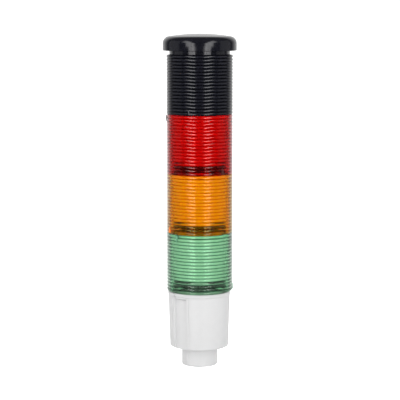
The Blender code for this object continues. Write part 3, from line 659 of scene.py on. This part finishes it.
def ridge_mesh(foot, head, azimuth):
    """A narrow upright ridge whose outer edge runs from foot to head, both (radius, z)."""
    root = min(foot[0], head[0]) - RIDGE_ROOT
    outline = [(root, foot[1]), foot, head, (root, head[1])]
    # the outline's x axis turns outwards, to -Y, and its y axis turns up
    stand_up = Matrix(((0, 0, -1, 0), (-1, 0, 0, 0), (0, 1, 0, 0), (0, 0, 0, 1)))
    return moved(prism(outline, -RIDGE_WIDTH / 2, RIDGE_WIDTH / 2), azimuth=azimuth, tilt=stand_up)


def pad_mesh(foot, head):
    """The raised pad beside the cable exit, its outer face running from foot to head."""
    inner, flare = foot[0] - PAD_ROOT, head[0] / foot[0]
    pad = arc_block(inner, foot[0], foot[1], head[1], *PAD_AZIMUTHS, PAD_STEPS)
    for vertex in pad.vertices:
        if vertex.co.z > foot[1] + GAP:
            vertex.co.x *= flare
            vertex.co.y *= flare
    return pad


def recess_mesh(low, high):
    """What is cut away for the exit cover. Its left side slopes outwards at 45 degrees."""
    side = COVER_HALF_WIDTH + GAP
    plan = [
        (-side, -COVER_SEAT),
        (-side, -COVER_FACE),
        (-side - (RECESS_REACH - COVER_FACE), -RECESS_REACH),
        (side, -RECESS_REACH),
        (side, -COVER_SEAT),
    ]
    return moved(prism(plan, low, high), azimuth=COVER_AZIMUTH)


def base_shell():
    """The tapered shell, with the ridge, the pad, and the recess and window of the cable exit."""
    low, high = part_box("base_housing")
    bottom, top = low.z, high.z
    head, foot, edge, chamfer = high.x, 0.0263, 0.0009, 0.0003
    wall_inner, tube, counterbore = 0.0236, 0.0145, 0.01725
    floor = bottom + 0.0035
    outline = [
        (tube, bottom + COUNTERBORE_DEPTH),
        (counterbore, bottom + COUNTERBORE_DEPTH),
        (counterbore, bottom),
    ]
    outline += rounded((foot - edge, bottom + edge), edge, -90, 0, 5)
    outline += [
        (head, top - chamfer),
        (head - chamfer, top),
        (wall_inner, top),
        (wall_inner, floor),
        (tube, floor),
    ]
    start = bottom + edge
    ridge_foot, ridge_head = (foot + RIDGE_RISE, start), (head + RIDGE_RISE, top - RIDGE_END)
    ridge = ridge_mesh(ridge_foot, ridge_head, BASE_RIDGE_AZIMUTH)
    pad = pad_mesh((foot + PAD_RISE, start), (head + PAD_RISE, top - 0.0001))
    cover_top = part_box("cable_exit_cover")[1].z
    recess = recess_mesh(bottom - GAP, cover_top + GAP)
    window_width, window_inner = 0.0100, 0.0200
    window_low, window_high = bottom + 0.0075, cover_top - 0.0050
    window = radial_box(
        window_width, window_inner, RECESS_REACH, window_low, window_high, COVER_AZIMUTH
    )
    shell = carved(
        revolve(outline), ("UNION", ridge), ("UNION", pad), ("DIFFERENCE", recess),
        ("DIFFERENCE", window),
    )
    piece("base_shell", shell, "white_plastic", "base", "white_plastic", "base_housing")


def exit_cover():
    """The cover's plate and its legs. The plate sits a little to the left in the recess, and a
    little short of its top, so that those edges show as they should."""
    low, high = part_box("cable_exit_cover")
    left, right = -(COVER_HALF_WIDTH + 0.00025), COVER_HALF_WIDTH - 0.0001
    near, far, top = -(COVER_SEAT + GAP), -COVER_FACE, high.z - 0.0007
    plan = [(left, near), (left, far), (right, far), (right, near)]
    plate = bevelled(moved(prism(plan, low.z, top), azimuth=COVER_AZIMUTH), 0.00025)
    leg_width, leg_thickness, leg_end = 0.0094, 0.0016, 0.0216
    legs = [
        radial_box(leg_width, leg_end, COVER_SEAT + 2 * GAP, z, z + leg_thickness, COVER_AZIMUTH)
        for z in (low.z + 0.0078, high.z - 0.0069)
    ]
    cover = gathered([plate, *legs])
    piece("exit_cover_panel", cover, "white_plastic", "cable_cover", "white_plastic", "cable_exit_cover")


def carrier():
    """The ring on top of the base: its skirt shows, its register sits inside the shell."""
    low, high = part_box("terminal_carrier")
    joint_plane = high.z - CROWN_RISE
    deck = joint_plane - HALF_GAP
    radius, seat = high.x, joint_plane - 0.0032
    skirt = seat - 0.0002  # its rim comes down closer to the shell's top edge
    register_inner, register_outer = 0.0220, 0.0233
    skirt_round, deck_round = 0.0002, 0.0005
    inner_groove, outer_groove = SEAL_GROOVE
    outline = [
        (CROWN_BORE, deck - ROOF_THICKNESS),
        (register_inner, deck - ROOF_THICKNESS),
        (register_inner, low.z),
        (register_outer, low.z),
        (register_outer, seat),
    ]
    outline += rounded((radius - skirt_round, skirt + skirt_round), skirt_round, -90, 0, 3)
    outline += rounded((radius - deck_round, deck - deck_round), deck_round, 0, 90, 4)
    outline += [
        (outer_groove, deck),
        (outer_groove, deck - SEAL_GROOVE_DEPTH),
        (inner_groove, deck - SEAL_GROOVE_DEPTH),
        (inner_groove, deck),
        (CROWN_RADIUS, deck),
        (CROWN_RADIUS, joint_plane + CROWN_RISE),
        (CROWN_BORE, joint_plane + CROWN_RISE),
    ]
    well_radius, well_floor, well_top = 0.0014, deck - 0.0014, deck + 0.0010
    places = [polar(SCREW_CIRCLE, a) for a in SCREW_AZIMUTHS]
    wells = gathered([rod(well_radius, well_floor, well_top, p) for p in places])
    pad_root, pad_low, pad_high = 0.0262, skirt + 0.0001, deck - 0.0006
    pad = arc_block(pad_root, radius + PAD_RISE, pad_low, pad_high, *PAD_AZIMUTHS, PAD_STEPS)
    ring = carved(revolve(outline), ("UNION", pad), ("DIFFERENCE", wells))
    ring = gathered([ring, *lugs(joint_plane)])
    piece("carrier_ring", ring, "white_plastic", "base", "white_plastic", "terminal_carrier")
    piece("base_seal_ring", seal_mesh(joint_plane), "rubber", "base", "rubber", "base_seal")


def adapter():
    """The spigot with its pole socket, the tube inside the base, and the set screw's way in."""
    low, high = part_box("pole_adapter")
    bottom, top = low.z, high.z
    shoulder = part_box("base_housing")[0].z + COUNTERBORE_DEPTH - GAP
    outside, bore, tube, cable = high.x, 0.01115, 0.0142, 0.0080
    stop, edge, mouth = top - 0.0030, 0.0010, 0.0004
    outline = [(bore + mouth, bottom)]
    outline += rounded((outside - edge, bottom + edge), edge, -90, 0, 5)
    outline += [
        (outside, shoulder),
        (tube, shoulder),
        (tube, top),
        (cable, top),
        (cable, stop),
        (bore, stop),
        (bore, bottom + mouth),
    ]
    ridge_radius = outside + ADAPTER_RIDGE_SHARE * RIDGE_RISE
    ridge_foot, ridge_head = (ridge_radius, bottom + edge), (ridge_radius, shoulder - RIDGE_END)
    ridge = ridge_mesh(ridge_foot, ridge_head, ADAPTER_RIDGE_AZIMUTH)
    screw_low, screw_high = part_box("pole_set_screw")
    height = (screw_low.z + screw_high.z) / 2
    seat = lie_along_y(rod(0.0035, 0.0116, 0.0200), height)  # for the screw's insert
    way = lie_along_y(rod(0.0023, 0.0090, 0.0118), height)  # for the screw's tip
    body = carved(revolve(outline), ("UNION", ridge), ("DIFFERENCE", seat), ("DIFFERENCE", way))
    piece("adapter_body", body, "white_plastic", "base", "white_plastic", "pole_adapter")


# ---- studio ---------------------------------------------------------------------------------
AMBIENT = 0.50  # how bright the surroundings are to dull and clear surfaces
BACKDROP = 1.1  # how bright they are where they show


def camera():
    """At the viewpoint: a long lens, a little above the cap, tilted down towards the middle."""
    focal_length, distance, height, tilt = 131.04, 1.318, 0.3219, 7.336
    data = bpy.data.cameras.new("viewpoint")
    data.sensor_width = 36.0
    data.lens = focal_length
    data.clip_start, data.clip_end = 0.05, 100.0
    data.shift_x = 0.00075
    made = bpy.data.objects.new("viewpoint", data)
    made.location = (0.0, -distance, height)
    made.rotation_euler = (math.radians(90 - tilt), 0.0, 0.0)
    bpy.context.scene.collection.objects.link(made)
    bpy.context.scene.camera = made


def panel_light(name, azimuth, distance, width, height, centre_z, radiance):
    """An upright glowing panel that faces the axis. It is seen in reflections, not directly."""
    data = bpy.data.lights.new(name, "AREA")
    data.shape = "RECTANGLE"
    data.size, data.size_y = width, height
    data.energy = radiance * math.pi * width * height
    made = bpy.data.objects.new(name, data)
    made.location = polar(distance, azimuth, centre_z)
    made.rotation_euler = (math.radians(90), 0.0, math.radians(azimuth))
    made.visible_camera = False
    bpy.context.scene.collection.objects.link(made)
    return made


# azimuth from the camera's, bottom and top height, and brightness of each upright strip
SOFTBOX_STRIPS = (
    (15.5, -0.45, 0.20, 1.4),
    (21.0, -0.45, 0.60, 4.1),
    (30.0, -0.40, 0.95, 3.7),
    (38.0, 0.20, 1.25, 3.2),
    (46.0, 0.65, 1.45, 2.6),
    (54.0, 0.75, 1.50, 1.6),
)


def softboxes():
    """Two tall softboxes left and right of the camera, their inmost strips the weakest and the
    next the brightest, weak edge lights, and fills that only dull surfaces see."""
    fills = []
    for side, name in ((-1, "left"), (1, "right")):
        for azimuth, low, high, radiance in SOFTBOX_STRIPS:
            panel_light(
                f"{name}_softbox", side * azimuth, distance=1.25, width=0.175, height=high - low,
                centre_z=(low + high) / 2, radiance=radiance,
            )
        panel_light(
            f"{name}_edge_light", side * 88.0, distance=1.25, width=1.0, height=1.3,
            centre_z=0.45, radiance=0.34,
        )
        fills.append(panel_light(
            f"{name}_side_fill", side * 75.0, distance=1.6, width=1.2, height=1.6,
            centre_z=0.45, radiance=1.5,
        ))
    for name, azimuth, radiance in (("front_fill", 0.0, 0.20), ("back_fill", 180.0, 0.9)):
        fills.append(panel_light(
            name, azimuth, distance=2.2, width=2.4, height=2.0, centre_z=0.9, radiance=radiance
        ))
    for fill in fills:
        fill.visible_glossy = fill.visible_transmission = False


def floor():
    """A pale floor just under the object, lit a little from within, and clear from below."""
    bm = bmesh.new()
    reach, height = 30, -0.0001
    corners = [(-reach, -reach), (reach, -reach), (reach, reach), (-reach, reach)]
    bm.faces.new([bm.verts.new((x, y, height)) for x, y in corners])
    made = bpy.data.objects.new("floor", finished(bm))
    bpy.context.scene.collection.objects.link(made)
    finish = plain("floor", (0.90, 0.90, 0.90), 0.90)
    tree = finish.node_tree
    shader = tree.nodes["Principled BSDF"]
    shader.inputs["Emission Color"].default_value = (1, 1, 1, 1)
    path = tree.nodes.new("ShaderNodeLightPath")
    glow = ranged(tree, path.outputs["Is Camera Ray"], 0.0, 1.0, 0.20, 1.00)
    tree.links.new(glow, shader.inputs["Emission Strength"])
    facing = tree.nodes.new("ShaderNodeNewGeometry")
    clear = tree.nodes.new("ShaderNodeBsdfTransparent")
    one_sided = tree.nodes.new("ShaderNodeMixShader")
    tree.links.new(facing.outputs["Backfacing"], one_sided.inputs["Fac"])
    tree.links.new(shader.outputs["BSDF"], one_sided.inputs[1])
    tree.links.new(clear.outputs["BSDF"], one_sided.inputs[2])
    tree.links.new(one_sided.outputs["Shader"], tree.nodes["Material Output"].inputs["Surface"])
    made.data.materials.append(finish)
    made.visible_glossy = False


def combined(tree, operation, first, second):
    made = tree.nodes.new("ShaderNodeMath")
    made.operation = operation
    tree.links.new(first, made.inputs[0])
    tree.links.new(second, made.inputs[1])
    return made.outputs["Value"]


def world():
    """A pale studio: even light all round for dull and clear surfaces; glossy ones see it bright
    behind the object, dim above and nearly dark in front. It is white where it shows."""
    made = bpy.data.worlds.new("studio")
    made.use_nodes = True
    tree = made.node_tree
    tree.nodes.clear()
    out = tree.nodes.new("ShaderNodeOutputWorld")
    place = tree.nodes.new("ShaderNodeTexCoord")
    axes = tree.nodes.new("ShaderNodeSeparateXYZ")
    tree.links.new(place.outputs["Generated"], axes.inputs["Vector"])
    behind = ranged(tree, axes.outputs["Y"], 0.38, 0.84, 0.0, 1.0, "SMOOTHSTEP")
    overhead = ranged(tree, axes.outputs["Z"], 0.30, 0.90, 0.02, 0.14, "SMOOTHSTEP")
    path = tree.nodes.new("ShaderNodeLightPath")
    ambient = tree.nodes.new("ShaderNodeMix")
    ambient.inputs["B"].default_value = AMBIENT
    dull_or_clear = combined(
        tree, "MAXIMUM", path.outputs["Diffuse Depth"], path.outputs["Is Transmission Ray"]
    )
    tree.links.new(dull_or_clear, ambient.inputs["Factor"])
    tree.links.new(combined(tree, "ADD", behind, overhead), ambient.inputs["A"])
    surroundings = tree.nodes.new("ShaderNodeBackground")
    tree.links.new(ambient.outputs["Result"], surroundings.inputs["Strength"])
    white = tree.nodes.new("ShaderNodeBackground")
    mix = tree.nodes.new("ShaderNodeMixShader")
    tree.links.new(path.outputs["Is Camera Ray"], mix.inputs["Fac"])
    tree.links.new(surroundings.outputs["Background"], mix.inputs[1])
    tree.links.new(white.outputs["Background"], mix.inputs[2])
    tree.links.new(mix.outputs["Shader"], out.inputs["Surface"])
    surroundings.inputs["Color"].default_value = (1, 1, 1, 1)
    white.inputs["Color"].default_value = (1, 1, 1, 1)
    white.inputs["Strength"].default_value = BACKDROP
    bpy.context.scene.world = made


def studio():
    world()
    floor()
    camera()
    softboxes()
    bpy.context.scene.view_settings.view_transform = "Standard"


# ---- assembly -------------------------------------------------------------------------------
refinish_nodes()
light_module("green", top_mark=-43.6, bottom_mark=90.0)
light_module("amber", top_mark=161.4, bottom_mark=-65.0)
light_module("red", top_mark=-90.0, bottom_mark=43.6)
sounder()
cap()
base_shell()
exit_cover()
carrier()
adapter()
studio()
